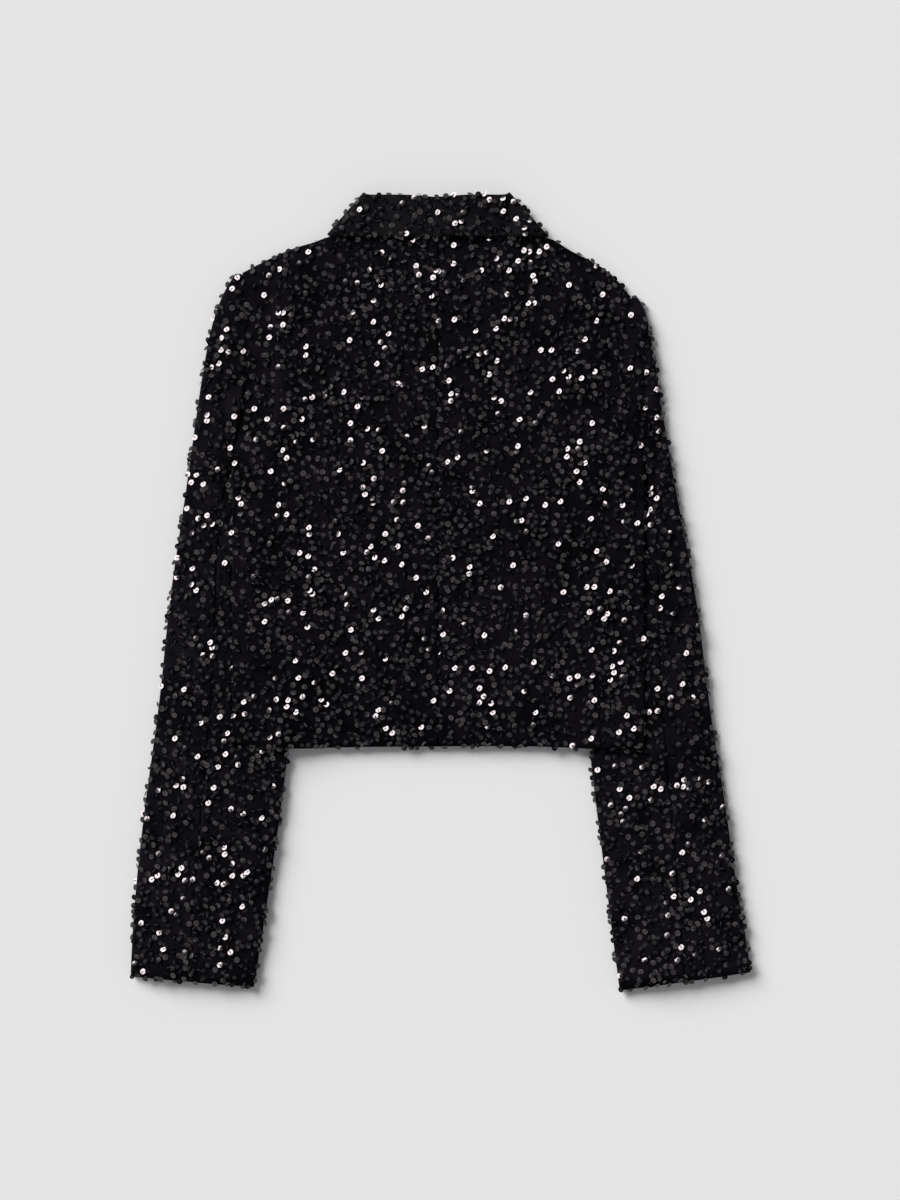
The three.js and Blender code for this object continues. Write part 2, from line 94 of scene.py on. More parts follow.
def velvet(name, dark, light, depth):
    """Velvet between two near blacks, with the sheen of its pile."""
    material = bpy.data.materials.new(name)
    material.use_nodes = True
    nodes, links = material.node_tree.nodes, material.node_tree.links
    shader = nodes["Principled BSDF"]
    shader.inputs["Roughness"].default_value = 0.85
    shader.inputs["Specular IOR Level"].default_value = 0.03
    shader.inputs["Sheen Weight"].default_value = 0.05
    shader.inputs["Sheen Roughness"].default_value = 0.28
    shader.inputs["Sheen Tint"].default_value = (0.80, 0.78, 0.88, 1.0)
    surface = nodes.new("ShaderNodeGroup")
    surface.node_tree = pile
    surface.inputs["Depth"].default_value = depth
    ramp = nodes.new("ShaderNodeValToRGB")
    ramp.color_ramp.elements[0].position = 0.16
    ramp.color_ramp.elements[0].color = (*dark, 1.0)
    ramp.color_ramp.elements[1].position = 0.36
    ramp.color_ramp.elements[1].color = (*light, 1.0)
    links.new(surface.outputs["Shade"], ramp.inputs["Fac"])
    links.new(ramp.outputs["Color"], shader.inputs["Base Color"])
    links.new(surface.outputs["Normal"], shader.inputs["Normal"])
    return material


WELD = 1e-5
SAME_FACE = math.radians(40)
SAME_SHAPE = math.radians(60)
SHARP_TURN = math.radians(52)
SMOOTH_LEVELS = 2


def shell(node, material):
    """A smooth wall of cloth on a node's own form, its cut edges kept sharp."""
    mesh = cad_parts[node].data.copy()
    work = bmesh.new()
    work.from_mesh(mesh)
    bmesh.ops.remove_doubles(work, verts=work.verts, dist=WELD)
    bmesh.ops.join_triangles(
        work, faces=work.faces, angle_face_threshold=SAME_FACE, angle_shape_threshold=SAME_SHAPE
    )
    crease = work.edges.layers.float.new("crease_edge")
    for edge in work.edges:
        if len(edge.link_faces) == 2 and edge.calc_face_angle() > SHARP_TURN:
            edge[crease] = 1.0
    work.to_mesh(mesh)
    work.free()
    rough = bpy.data.objects.new(f"{node}_rough", mesh)
    bpy.context.scene.collection.objects.link(rough)
    smoother = rough.modifiers.new("smooth", "SUBSURF")
    smoother.levels = SMOOTH_LEVELS
    smoother.render_levels = SMOOTH_LEVELS
    depsgraph = bpy.context.evaluated_depsgraph_get()
    made = bpy.data.meshes.new_from_object(rough.evaluated_get(depsgraph))
    bpy.data.objects.remove(rough)
    made.materials.clear()
    made.materials.append(material)
    made.polygons.foreach_set("use_smooth", [True] * len(made.polygons))
    piece = bpy.data.objects.new(f"{node}_cloth", made)
    bpy.context.scene.collection.objects.link(piece)
    return piece


def ease(value):
    """0 to 1 with soft ends."""
    value = np.clip(value, 0.0, 1.0)
    return value * value * (3 - 2 * value)


CREASE_OVERRUN = 0.15
CREASE_FADE = 0.35


def crease_rise(x, y, creases):
    """How far the listed creases lift or sink the cloth at x, y, in metres."""
    rise = np.zeros_like(x)
    for crease in creases:
        start = np.array(crease["start"])
        run = np.array(crease["end"]) - start
        length = np.hypot(*run)
        along = ((x - start[0]) * run[0] + (y - start[1]) * run[1]) / length**2
        bend = crease["bend"] * np.sin(np.pi * np.clip(along, 0, 1))
        across = ((y - start[1]) * run[0] - (x - start[0]) * run[1]) / length - bend
        begins = ease((along + CREASE_OVERRUN) / CREASE_FADE)
        ends = begins * ease((1 + CREASE_OVERRUN - along) / CREASE_FADE)
        rise += crease["depth"] * ends * np.exp(-((across / crease["width"]) ** 2))
    return rise


FACING_SIDEWAYS = 0.35


def from_edge(mesh, is_edge):
    """How far each vertex lies, in plan, from the nearest edge of the cloth that counts."""
    edge = [
        vertex.co for vertex in mesh.vertices
        if abs(vertex.normal.z) < FACING_SIDEWAYS and is_edge(vertex.co)
    ]
    tree = KDTree(len(edge))
    for index, place in enumerate(edge):
        tree.insert((place.x, place.y, 0.0), index)
    tree.balance()
    return np.array([tree.find((vertex.co.x, vertex.co.y, 0.0))[2] for vertex in mesh.vertices])


WAVES_ACROSS = 14
WAVES_DOWN = 9
LOFT_FADE = 0.045


def drape(piece, creases, weight, swell, loft, is_edge, seed):
    """Lifts a piece's cloth by its creases, a soft swell and a loft away from its edges."""
    mesh = piece.data
    places = np.empty(len(mesh.vertices) * 3)
    mesh.vertices.foreach_get("co", places)
    places = places.reshape(-1, 3)
    x, y, z = places.T
    points = [Vector((px * WAVES_ACROSS, py * WAVES_DOWN, seed)) for px, py in zip(x, y)]
    waves = np.array([noise.noise(point) for point in points])
    rise = crease_rise(x, y, creases) + swell * (0.5 + 0.5 * waves)
    inward = ease(from_edge(mesh, is_edge) / loft["reach"])
    rise += loft["height"] * inward * ease((loft["top"] - y) / LOFT_FADE)
    places[:, 2] = z + rise * weight(x, y, z)
    mesh.vertices.foreach_set("co", places.ravel())
    mesh.update()


BODY_CREASES = [
    {"start": (0.118, 0.082), "end": (0.158, 0.104), "bend": 0.002, "width": 0.0035, "depth": 0.0013},
    {"start": (0.124, 0.070), "end": (0.170, 0.094), "bend": 0.003, "width": 0.0040, "depth": 0.0011},
    {"start": (0.146, 0.020), "end": (0.141, -0.120), "bend": 0.002, "width": 0.0050, "depth": 0.0010},
    {"start": (-0.141, -0.085), "end": (-0.147, -0.135), "bend": 0.001, "width": 0.0050, "depth": 0.0012},
    {"start": (-0.166, 0.060), "end": (-0.160, -0.090), "bend": -0.004, "width": 0.0070, "depth": 0.0009},
    {"start": (-0.160, 0.118), "end": (-0.120, 0.090), "bend": -0.003, "width": 0.0050, "depth": 0.0011},
    {"start": (0.132, 0.240), "end": (0.120, 0.140), "bend": 0.005, "width": 0.0070, "depth": 0.0010},
    {"start": (-0.140, 0.255), "end": (-0.128, 0.150), "bend": -0.004, "width": 0.0080, "depth": 0.0009},
    {"start": (0.060, -0.030), "end": (0.074, -0.130), "bend": 0.004, "width": 0.0090, "depth": 0.0008},
    {"start": (-0.062, 0.010), "end": (-0.050, -0.120), "bend": -0.005, "width": 0.0100, "depth": 0.0008},
    {"start": (-0.090, 0.200), "end": (0.010, 0.214), "bend": 0.004, "width": 0.0080, "depth": 0.0007},
    {"start": (0.020, 0.060), "end": (0.095, 0.040), "bend": -0.004, "width": 0.0070, "depth": 0.0007},
]
SIDE_STRIP_X = 0.150
OVER_SLEEVE_Z = 0.0099
TURN_UNDER = 0.001


def top_of_back(x, y, z):
    """All of the back but the strip that turns under at the side."""
    inside = np.abs(x) < SIDE_STRIP_X
    return np.where(inside, 1.0, ease((z - OVER_SLEEVE_Z) / TURN_UNDER))


COLLAR_END_X = 0.098
SHOULDER_BAND_Y = 0.296
SHOULDER_REACH = 0.014
SHOULDER_LIFT = 0.0055


def raise_shoulder(piece):
    """Moves the shoulder line up where it runs in under the end of the collar."""
    for vertex in piece.data.vertices:
        x, y, z = vertex.co
        beside = math.exp(-(((abs(x) - COLLAR_END_X) / SHOULDER_REACH) ** 2))
        near = beside * float(ease((y - SHOULDER_BAND_Y) / SHOULDER_REACH))
        vertex.co.y = y + SHOULDER_LIFT * near


CENTRE_SEAM_HALF = 0.008


def is_outer_edge(place):
    """True for every cut edge and fold of a back but the one at the centre seam."""
    return abs(place.x) > CENTRE_SEAM_HALF


BODY_LOFT = {"height": 0.0032, "reach": 0.040, "top": 0.312}
BODY_SWELL = 0.0007
body_velvet = velvet("body velvet", (0.0010, 0.0008, 0.0014), (0.0062, 0.0050, 0.0078), 0.55)
cloths = {}
for side, seed in (("left", 3.0), ("right", 7.5)):
    node = f"back_{side}"
    back = shell(node, body_velvet)
    raise_shoulder(back)
    drape(back, BODY_CREASES, top_of_back, BODY_SWELL, BODY_LOFT, is_outer_edge, seed)
    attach(back, "root")
    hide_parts(node)
    cloths[node] = back

# Sleeves
# Each is two pieces of velvet, a top sleeve and an under sleeve, seamed down the back of the arm
# and again underneath. It lies flat, with its inner edge under the side of the body.
SLEEVE_CREASES = [
    {"start": (0.1830, 0.226), "end": (0.1815, 0.150), "bend": 0.002, "width": 0.0026, "depth": -0.0012},
    {"start": (0.1890, 0.215), "end": (0.1870, 0.128), "bend": 0.002, "width": 0.0040, "depth": 0.0010},
    {"start": (0.2060, 0.060), "end": (0.1960, -0.060), "bend": 0.003, "width": 0.0060, "depth": 0.0010},
    {"start": (0.1990, -0.175), "end": (0.2440, -0.215), "bend": 0.004, "width": 0.0050, "depth": 0.0009},
    {"start": (0.1760, -0.235), "end": (0.2250, -0.262), "bend": -0.004, "width": 0.0060, "depth": 0.0008},
    {"start": (0.2350, -0.255), "end": (0.2440, -0.330), "bend": 0.002, "width": 0.0060, "depth": 0.0009},
    {"start": (-0.1960, 0.232), "end": (-0.1905, 0.148), "bend": -0.002, "width": 0.0028, "depth": -0.0012},
    {"start": (-0.2010, 0.205), "end": (-0.1990, 0.110), "bend": -0.002, "width": 0.0045, "depth": 0.0010},
    {"start": (-0.2240, 0.040), "end": (-0.2140, -0.080), "bend": -0.003, "width": 0.0060, "depth": 0.0010},
    {"start": (-0.2000, -0.180), "end": (-0.2450, -0.205), "bend": 0.004, "width": 0.0055, "depth": 0.0009},
    {"start": (-0.1830, -0.240), "end": (-0.2330, -0.283), "bend": -0.004, "width": 0.0060, "depth": 0.0009},
    {"start": (-0.2240, -0.250), "end": (-0.2190, -0.335), "bend": 0.003, "width": 0.0055, "depth": 0.0010},
]
body_trees = [
    BVHTree.FromObject(back, bpy.context.evaluated_depsgraph_get()) for back in cloths.values()
]
LAYER_LOOK = 0.03
CLEAR_OF_CLOTH = 2e-4
UP = Vector((0, 0, 1))


def open_above(place):
    """True where no part of the backs lies over a point."""
    start = Vector(place) + CLEAR_OF_CLOTH * UP
    return all(tree.ray_cast(start, UP, LAYER_LOOK)[0] is None for tree in body_trees)


SLEEVE_UNDERSIDE_Z = 0.0024
SLEEVE_EASE = 0.0026
SLEEVE_FOLD_Z = (0.0025, 0.0058)


def top_of_sleeve(x, y, z):
    """The upper face of a sleeve where the body doesn't cover it."""
    clear = np.array([open_above(place) for place in zip(x, y, z)], dtype=float)
    return clear * ease((z - SLEEVE_UNDERSIDE_Z) / SLEEVE_EASE)


def is_sleeve_fold(place):
    """True on the two folds of a sleeve, between its upper and its lower face."""
    return SLEEVE_FOLD_Z[0] < place.z < SLEEVE_FOLD_Z[1]


SLEEVE_LOFT = {"height": 0.0024, "reach": 0.030, "top": 0.270}
SLEEVE_SWELL = 0.0006
sleeve_velvet = velvet("sleeve velvet", (0.0013, 0.0010, 0.0018), (0.0078, 0.0066, 0.0092), 0.6)
SLEEVE_CUTS = {
    "top_sleeve_left": {"flat": (0.118, 0.640), "area": 0.0563, "seed": 12.0},
    "top_sleeve_right": {"flat": (0.104, 0.620), "area": 0.0481, "seed": 19.0},
    "under_sleeve_left": {"flat": (0.150, 0.470), "area": 0.0560, "seed": 12.0},
    "under_sleeve_right": {"flat": (0.148, 0.470), "area": 0.0545, "seed": 19.0},
}
for node, cut in SLEEVE_CUTS.items():
    sleeve = shell(node, sleeve_velvet)
    drape(
        sleeve, SLEEVE_CREASES, top_of_sleeve, SLEEVE_SWELL, SLEEVE_LOFT, is_sleeve_fold, cut["seed"]
    )
    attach(sleeve, "root")
    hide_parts(node)
    cloths[node] = sleeve

# Fronts and lapels
# The fronts lie on the surface, the left one over the right one, and their lapels are turned
# back under them. They are cut from the same velvet and left plain inside.
front_velvet = velvet("front velvet", (0.0010, 0.0008, 0.0014), (0.0062, 0.0050, 0.0078), 0.5)
FRONT_CUTS = {
    "front": {"flat": (0.194, 0.450), "area": 0.0660},
    "lapel": {"flat": (0.098, 0.168), "area": 0.0061},
}
for part, cut in FRONT_CUTS.items():
    for side in ("left", "right"):
        node = f"{part}_{side}"
        front = shell(node, front_velvet)
        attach(front, "root")
        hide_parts(node)
        cloths[node] = front

# Collar
# A band of velvet stands up from the neck seam and falls back over it. Its fall lies on top of
# the backs, and its ends go round both sides of the neck and lie under the fronts.
# The collar's two near blacks are lighter than the backs': painted sheen, in place of the grey sheen of the
# pile along the collar's rolled edges.
collar_velvet_painted_sheen = velvet("collar velvet", (0.0020, 0.0017, 0.0024), (0.0110, 0.0100, 0.0120), 0.6)
COLLAR_CREASES = [
    {"start": (-0.010, 0.356), "end": (-0.004, 0.330), "bend": 0.002, "width": 0.0040, "depth": -0.0006},
    {"start": (0.030, 0.350), "end": (0.052, 0.326), "bend": 0.003, "width": 0.0050, "depth": 0.0010},
    {"start": (-0.062, 0.350), "end": (-0.078, 0.324), "bend": -0.003, "width": 0.0050, "depth": 0.0009},
]


FALL_Z = 0.005
FALL_EASE = 0.0025
LOWER_FOLD_Z = 0.004


def top_of_fall(x, y, z):
    """The leaf of the collar that lies on the backs."""
    return ease((z - FALL_Z) / FALL_EASE)


def is_lower_fold(place):
    """True on the low outer parts of the collar, which lie on the surface."""
    return place.z < LOWER_FOLD_Z


COLLAR_LOFT = {"height": 0.0012, "reach": 0.020, "top": 0.40}
COLLAR_SWELL = 0.0006
COLLAR_SEED = 27.0
fall = shell("collar_fall", collar_velvet_painted_sheen)
drape(
    fall, COLLAR_CREASES, top_of_fall, COLLAR_SWELL, COLLAR_LOFT, is_lower_fold, COLLAR_SEED
)
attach(fall, "root")
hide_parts("collar_fall")
cloths["collar_fall"] = fall
stand = shell("collar_stand", collar_velvet_painted_sheen)
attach(stand, "root")
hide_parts("collar_stand")

# Sequins
# Round black sequins, barely cupped, each held at its middle hole by a thread that crosses to
# its rim. They are sewn loosely and close, so each tilts its own way and few catch the light.
SEQUIN_RADIUS = 0.0027
SEQUIN_SIDES = 10
HOLE = 0.23
CUP = 0.022
THREAD = {"from": 0.0, "to": 1.0, "half_width": 0.11, "bottom": -0.01, "top": 0.07}


def sequin_mesh():
    """One sequin as a shallow closed cone with a dark middle, and its thread."""
    angles = [2 * math.pi * turn / SEQUIN_SIDES for turn in range(SEQUIN_SIDES)]
    points = [(HOLE * math.cos(angle), HOLE * math.sin(angle), CUP) for angle in angles]
    points += [(math.cos(angle), math.sin(angle), 0.0) for angle in angles]
    rings = [(i, SEQUIN_SIDES + i) for i in range(SEQUIN_SIDES)]
    faces = []
    for turn, (inner, outer) in enumerate(rings):
        next_inner, next_outer = rings[(turn + 1) % SEQUIN_SIDES]
        faces.append((inner, outer, next_outer, next_inner))
    faces.append(tuple(outer for inner, outer in reversed(rings)))
    foil_faces = len(faces)
    faces.append(tuple(inner for inner, outer in rings))
    first = len(points)
    for x, sink in ((THREAD["from"], 0.0), (THREAD["to"], CUP)):
        for y in (-THREAD["half_width"], THREAD["half_width"]):
            for z in (THREAD["bottom"], THREAD["top"] - sink):
                points.append((x, y, z))
    for corner in ((0, 1, 3, 2), (4, 6, 7, 5), (0, 4, 5, 1), (2, 3, 7, 6), (1, 5, 7, 3), (0, 2, 6, 4)):
        faces.append(tuple(first + i for i in corner))
    mesh = bpy.data.meshes.new("sequin")
    mesh.from_pydata([tuple(SEQUIN_RADIUS * value for value in point) for point in points], [], faces)
    threads = mesh.attributes.new("is_thread", "BOOLEAN", "FACE")
    for polygon in mesh.polygons:
        threads.data[polygon.index].value = polygon.index >= foil_faces
    return mesh


def sequin_foil():
    """Glossy black film, a little duller from one sequin to the next."""
    material = bpy.data.materials.new("sequin foil")
    material.use_nodes = True
    nodes, links = material.node_tree.nodes, material.node_tree.links
    shader = nodes["Principled BSDF"]
    shader.inputs["IOR"].default_value = 1.6
    shader.inputs["Specular IOR Level"].default_value = 0.62
    shader.inputs["Specular Tint"].default_value = (1.0, 0.90, 0.92, 1.0)
    shade = nodes.new("ShaderNodeAttribute")
    shade.attribute_name = "shade"
    ramp = nodes.new("ShaderNodeValToRGB")
    ramp.color_ramp.elements[0].color = (0.0010, 0.0009, 0.0012, 1.0)
    ramp.color_ramp.elements[1].color = (0.0050, 0.0042, 0.0062, 1.0)
    gloss = nodes.new("ShaderNodeMapRange")
    gloss.inputs["To Min"].default_value = 0.07
    gloss.inputs["To Max"].default_value = 0.14
    links.new(shade.outputs["Fac"], ramp.inputs["Fac"])
    links.new(ramp.outputs["Color"], shader.inputs["Base Color"])
    links.new(shade.outputs["Fac"], gloss.inputs["Value"])
    links.new(gloss.outputs["Result"], shader.inputs["Roughness"])
    return material


THREAD_TWIST = 2600.0


def sewing_thread():
    """Dull black thread."""
    material = bpy.data.materials.new("sewing thread")
    material.use_nodes = True
    nodes, links = material.node_tree.nodes, material.node_tree.links
    shader = nodes["Principled BSDF"]
    shader.inputs["Roughness"].default_value = 0.8
    twist = nodes.new("ShaderNodeTexNoise")
    twist.inputs["Scale"].default_value = THREAD_TWIST
    place = nodes.new("ShaderNodeTexCoord")
    ramp = nodes.new("ShaderNodeValToRGB")
    ramp.color_ramp.elements[0].color = (0.004, 0.004, 0.004, 1.0)
    ramp.color_ramp.elements[1].color = (0.022, 0.021, 0.022, 1.0)
    links.new(place.outputs["Object"], twist.inputs["Vector"])
    links.new(twist.outputs["Fac"], ramp.inputs["Fac"])
    links.new(ramp.outputs["Color"], shader.inputs["Base Color"])
    return material


EDGE_LIFT = 1.0
DRIFT_SCALE = 30.0
FLUSH_RISE = 0.00006
CLOSEST_SEWN = 36000.0
TILT_SEED = 11
TURN_SEED = 17
TONE_SEED = 23
LOWEST, HIGHEST, DRAWN = 2, 3, 1


def sewing_tree():
    """Scatters a sequin at even gaps over cloth, each tilted and turned its own way."""
    tree = bpy.data.node_groups.new("sewn sequins", "GeometryNodeTree")
    tree.is_modifier = True
    sockets = {}
    for name, kind, value in (
        ("Cloth", "NodeSocketGeometry", None), ("Sequin", "NodeSocketObject", None),
        ("Gap", "NodeSocketFloat", 0.0040), ("Tilt", "NodeSocketFloat", 0.50),
        ("Rise", "NodeSocketFloat", 0.0009), ("Drift", "NodeSocketFloat", 0.70),
        ("Seed", "NodeSocketInt", 1), ("Foil", "NodeSocketMaterial", None),
        ("Thread", "NodeSocketMaterial", None),
    ):
        socket = tree.interface.new_socket(name, in_out="INPUT", socket_type=kind)
        if value is not None:
            socket.default_value = value
        sockets[name] = socket.identifier
    tree.interface.new_socket("Sequins", in_out="OUTPUT", socket_type="NodeSocketGeometry")
    nodes, links = tree.nodes, tree.links
    given = nodes.new("NodeGroupInput")
    result = nodes.new("NodeGroupOutput")
    scatter = nodes.new("GeometryNodeDistributePointsOnFaces")
    scatter.distribute_method = "POISSON"
    scatter.inputs["Density Max"].default_value = CLOSEST_SEWN
    links.new(given.outputs["Cloth"], scatter.inputs["Mesh"])
    links.new(given.outputs["Gap"], scatter.inputs["Distance Min"])
    links.new(given.outputs["Seed"], scatter.inputs["Seed"])
    loose = nodes.new("GeometryNodeInputNamedAttribute")
    loose.inputs["Name"].default_value = "loose"
    rise = nodes.new("ShaderNodeMath")
    rise.operation = "MULTIPLY_ADD"
    rise.inputs[2].default_value = FLUSH_RISE
    links.new(given.outputs["Rise"], rise.inputs[0])
    links.new(loose.outputs["Attribute"], rise.inputs[1])
    lift = nodes.new("ShaderNodeVectorMath")
    lift.operation = "SCALE"
    links.new(scatter.outputs["Normal"], lift.inputs[0])
    links.new(rise.outputs["Value"], lift.inputs["Scale"])
    raised = nodes.new("GeometryNodeSetPosition")
    links.new(scatter.outputs["Points"], raised.inputs["Geometry"])
    links.new(lift.outputs["Vector"], raised.inputs["Offset"])
    thing = nodes.new("GeometryNodeObjectInfo")
    links.new(given.outputs["Sequin"], thing.inputs["Object"])
    place = nodes.new("GeometryNodeInstanceOnPoints")
    links.new(raised.outputs["Geometry"], place.inputs["Points"])
    links.new(thing.outputs["Geometry"], place.inputs["Instance"])
    edge_lift = nodes.new("ShaderNodeVectorMath")
    edge_lift.operation = "SCALE"
    edge_lift.inputs[0].default_value = (0.0, 0.0, EDGE_LIFT)
    links.new(loose.outputs["Attribute"], edge_lift.inputs["Scale"])
    upward = nodes.new("ShaderNodeVectorMath")
    links.new(scatter.outputs["Normal"], upward.inputs[0])
    links.new(edge_lift.outputs["Vector"], upward.inputs[1])
    facing = nodes.new("FunctionNodeAlignRotationToVector")
    facing.axis = "Z"
    links.new(upward.outputs["Vector"], facing.inputs["Vector"])
    links.new(facing.outputs["Rotation"], place.inputs["Rotation"])
    where = nodes.new("GeometryNodeInputPosition")
    drift = nodes.new("ShaderNodeTexNoise")
    drift.inputs["Scale"].default_value = DRIFT_SCALE
    links.new(where.outputs["Position"], drift.inputs["Vector"])
    centred = nodes.new("ShaderNodeVectorMath")
    centred.operation = "SUBTRACT"
    centred.inputs[1].default_value = (0.5, 0.5, 0.5)
    links.new(drift.outputs["Color"], centred.inputs[0])
    lean = nodes.new("ShaderNodeVectorMath")
    lean.operation = "SCALE"
    links.new(centred.outputs["Vector"], lean.inputs[0])
    links.new(given.outputs["Drift"], lean.inputs["Scale"])
    angles = nodes.new("ShaderNodeCombineXYZ")
    back_tilt = nodes.new("ShaderNodeMath")
    back_tilt.operation = "MULTIPLY"
    back_tilt.inputs[1].default_value = -1.0
    links.new(given.outputs["Tilt"], back_tilt.inputs[0])
    for index, axis in enumerate("XY"):
        chance = nodes.new("FunctionNodeRandomValue")
        chance.inputs["Seed"].default_value = TILT_SEED + index
        links.new(back_tilt.outputs["Value"], chance.inputs[LOWEST])
        links.new(given.outputs["Tilt"], chance.inputs[HIGHEST])
        links.new(chance.outputs[DRAWN], angles.inputs[axis])
    leaning = nodes.new("ShaderNodeVectorMath")
    links.new(angles.outputs["Vector"], leaning.inputs[0])
    links.new(lean.outputs["Vector"], leaning.inputs[1])
    allowed = nodes.new("ShaderNodeVectorMath")
    allowed.operation = "SCALE"
    links.new(leaning.outputs["Vector"], allowed.inputs[0])
    links.new(loose.outputs["Attribute"], allowed.inputs["Scale"])
    tilted = nodes.new("GeometryNodeRotateInstances")
    links.new(place.outputs["Instances"], tilted.inputs["Instances"])
    links.new(allowed.outputs["Vector"], tilted.inputs["Rotation"])
    turn = nodes.new("FunctionNodeRandomValue")
    turn.inputs[HIGHEST].default_value = 2 * math.pi
    turn.inputs["Seed"].default_value = TURN_SEED
    spin = nodes.new("ShaderNodeCombineXYZ")
    links.new(turn.outputs[DRAWN], spin.inputs["Z"])
    spun = nodes.new("GeometryNodeRotateInstances")
    links.new(tilted.outputs["Instances"], spun.inputs["Instances"])
    links.new(spin.outputs["Vector"], spun.inputs["Rotation"])
    tone = nodes.new("FunctionNodeRandomValue")
    tone.inputs["Seed"].default_value = TONE_SEED
    stored = nodes.new("GeometryNodeStoreNamedAttribute")
    stored.domain = "INSTANCE"
    stored.inputs["Name"].default_value = "shade"
    links.new(spun.outputs["Instances"], stored.inputs["Geometry"])
    links.new(tone.outputs[DRAWN], stored.inputs["Value"])
    real = nodes.new("GeometryNodeRealizeInstances")
    links.new(stored.outputs["Geometry"], real.inputs["Geometry"])
    is_thread = nodes.new("GeometryNodeInputNamedAttribute")
    is_thread.data_type = "BOOLEAN"
    is_thread.inputs["Name"].default_value = "is_thread"
    foiled = nodes.new("GeometryNodeSetMaterial")
    links.new(real.outputs["Geometry"], foiled.inputs["Geometry"])
    links.new(given.outputs["Foil"], foiled.inputs["Material"])
    threaded = nodes.new("GeometryNodeSetMaterial")
    links.new(foiled.outputs["Geometry"], threaded.inputs["Geometry"])
    links.new(is_thread.outputs["Attribute"], threaded.inputs["Selection"])
    links.new(given.outputs["Thread"], threaded.inputs["Material"])
    links.new(threaded.outputs["Geometry"], result.inputs["Sequins"])
    return tree, sockets


LOWEST_SEWN = 0.0018
STEEPEST_SEWN = -0.30
FLAT_DOWN = -0.995
ON_SURFACE = 0.0002


def sewn_faces(cloth, covers):
    """The faces of a piece that face out, loosely sewn above and flush on the underside."""
    work = bmesh.new()
    work.from_mesh(cloth.data)
    loose = work.faces.layers.float.new("loose")
    own = BVHTree.FromBMesh(work)
    dropped = []
    for face in work.faces:
        middle = face.calc_center_median()
        start = middle + face.normal * CLEAR_OF_CLOTH
        if face.normal.z < FLAT_DOWN and middle.z < ON_SURFACE:
            face[loose] = 0.0
            continue
        face[loose] = 1.0
        inside = own.ray_cast(start, face.normal, LAYER_LOOK)[0] is not None
        low = middle.z < LOWEST_SEWN or face.normal.z < STEEPEST_SEWN
        hidden = any(cover.ray_cast(start, UP, LAYER_LOOK)[0] for cover in covers)
        if inside or low or hidden:
            dropped.append(face)
    bmesh.ops.delete(work, geom=dropped, context="FACES")
    mesh = bpy.data.meshes.new(f"{cloth.name}_ground")
    work.to_mesh(mesh)
    work.free()
    return mesh


foil = sequin_foil()
thread = sewing_thread()
pattern = bpy.data.objects.new("sequin_pattern", sequin_mesh())
bpy.context.scene.collection.objects.link(pattern)
sewing_nodes, sockets = sewing_tree()
sewing_graph = bpy.context.evaluated_depsgraph_get()
cloth_trees = {node: BVHTree.FromObject(cloth, sewing_graph) for node, cloth in cloths.items()}
backs = ["back_left", "back_right"]
everything = list(cloths)
SEWN_PARTS = {
    "back": {"covers": ["collar_fall"], "tilt": 0.53},
    "collar": {"covers": [], "tilt": 0.43},
    "top": {"covers": backs, "tilt": 0.45},
    "under": {"covers": backs, "tilt": 0.45},
    "front": {"covers": everything, "tilt": 0.50},
    "lapel": {"covers": everything, "tilt": 0.50},
}
FIRST_SEED = 5
for seed, (node, cloth) in enumerate(cloths.items()):
    sewn = SEWN_PARTS[node.split("_")[0]]
    covers = [cloth_trees[cover] for cover in sewn["covers"] if cover != node]
    ground = bpy.data.objects.new(f"{node}_ground", sewn_faces(cloth, covers))
    bpy.context.scene.collection.objects.link(ground)
    sewing = ground.modifiers.new("sewing", "NODES")
    sewing.node_group = sewing_nodes
    sewing[sockets["Sequin"]] = pattern
    sewing[sockets["Seed"]] = FIRST_SEED + seed
    sewing[sockets["Tilt"]] = sewn["tilt"]
    sewing[sockets["Foil"]] = foil
    sewing[sockets["Thread"]] = thread
    made = bpy.data.meshes.new_from_object(ground.evaluated_get(bpy.context.evaluated_depsgraph_get()))
    bpy.data.objects.remove(ground)
    sequins = bpy.data.objects.new(f"{node}_sequins", made)
    bpy.context.scene.collection.objects.link(sequins)
    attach(sequins, "root")
bpy.data.objects.remove(pattern)

# Surface, light and camera
# A plain pale surface, seen from straight above, with soft light from the upper left that throws
# a short shadow to the lower right. Patchy light overhead gives each sequin its own shade of grey.
floor_mesh = bpy.data.meshes.new("floor")
FLOOR_HALF = 6.0
FLOOR_Z = -0.0004
floor_mesh.from_pydata(
    [(x * FLOOR_HALF, y * FLOOR_HALF, FLOOR_Z) for x, y in ((-1, -1), (1, -1), (1, 1), (-1, 1))],
    [], [(0, 1, 2, 3)],
)
floor = bpy.data.objects.new("floor", floor_mesh)
bpy.context.scene.collection.objects.link(floor)
floor_paint = bpy.data.materials.new("pale surface")
floor_paint.use_nodes = True
floor_shader = floor_paint.node_tree.nodes["Principled BSDF"]
floor_shader.inputs["Base Color"].default_value = (0.80, 0.80, 0.79, 1.0)
floor_shader.inputs["Roughness"].default_value = 0.9
floor_shader.inputs["Specular IOR Level"].default_value = 0.1
floor_mesh.materials.append(floor_paint)

key = bpy.data.lights.new("key", "SUN")
key.energy = 4.6
key.angle = math.radians(36)
key_object = bpy.data.objects.new("key", key)
KEY_FROM = Vector((-1.30, 1.20, 1.0))
key_object.rotation_euler = KEY_FROM.to_track_quat("Z", "Y").to_euler()
bpy.context.scene.collection.objects.link(key_object)

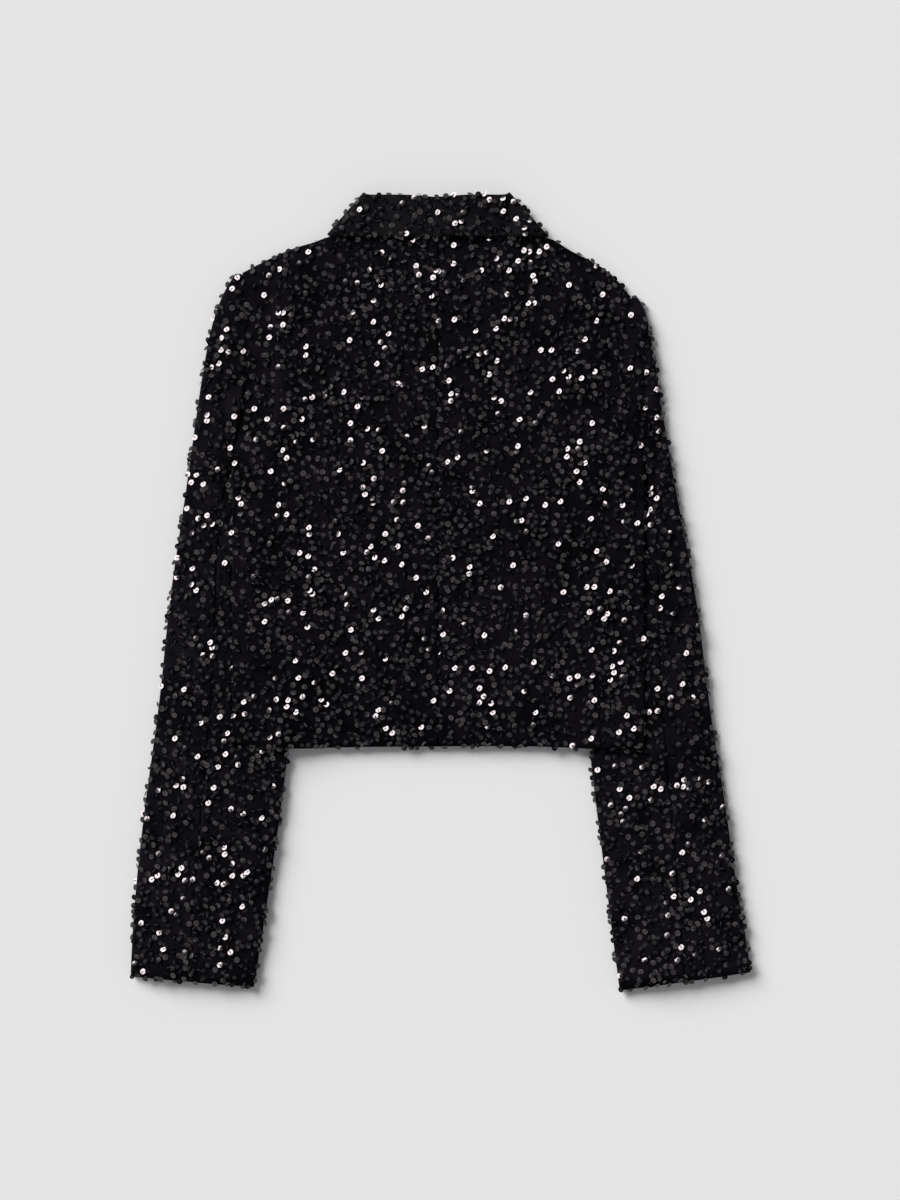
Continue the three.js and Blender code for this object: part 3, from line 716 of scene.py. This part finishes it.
world = bpy.data.worlds.new("studio")
world.use_nodes = True
bpy.context.scene.world = world
sky_nodes, sky_links = world.node_tree.nodes, world.node_tree.links
sky_place = sky_nodes.new("ShaderNodeTexCoord")
panels = sky_nodes.new("ShaderNodeTexNoise")
panels.inputs["Scale"].default_value = 2.6
panels.inputs["Detail"].default_value = 1.0
sky_ramp = sky_nodes.new("ShaderNodeValToRGB")
sky_ramp.color_ramp.elements[0].position = 0.50
sky_ramp.color_ramp.elements[0].color = (0.012, 0.009, 0.018, 1.0)
sky_ramp.color_ramp.elements[1].position = 0.66
sky_ramp.color_ramp.elements[1].color = (0.62, 0.61, 0.625, 1.0)
sky_links.new(sky_place.outputs["Generated"], panels.inputs["Vector"])
sky_links.new(panels.outputs["Fac"], sky_ramp.inputs["Fac"])
direction = sky_nodes.new("ShaderNodeSeparateXYZ")
overhead = sky_nodes.new("ShaderNodeMapRange")
overhead.inputs["From Min"].default_value = 0.20
overhead.inputs["From Max"].default_value = 0.55
wall = sky_nodes.new("ShaderNodeMix")
wall.data_type = "RGBA"
wall.inputs["A"].default_value = (0.44, 0.44, 0.445, 1.0)
sky_links.new(sky_place.outputs["Generated"], direction.inputs["Vector"])
sky_links.new(direction.outputs["Z"], overhead.inputs["Value"])
sky_links.new(overhead.outputs["Result"], wall.inputs["Factor"])
sky_links.new(sky_ramp.outputs["Color"], wall.inputs["B"])
sky_links.new(wall.outputs["Result"], sky_nodes["Background"].inputs["Color"])
sky_nodes["Background"].inputs["Strength"].default_value = 1.50

SENSOR = 36.0
CAMERA_HEIGHT = 2.0
PHOTO_TALL = 1.080
PHOTO_CENTRE = (0.0084, -0.0080)
camera = bpy.data.cameras.new("camera")
camera.sensor_width = SENSOR
camera.lens = SENSOR * CAMERA_HEIGHT / PHOTO_TALL
camera_object = bpy.data.objects.new("camera", camera)
camera_object.location = (*PHOTO_CENTRE, CAMERA_HEIGHT)
bpy.context.scene.collection.objects.link(camera_object)
bpy.context.scene.camera = camera_object
bpy.context.scene.view_settings.view_transform = "Standard"
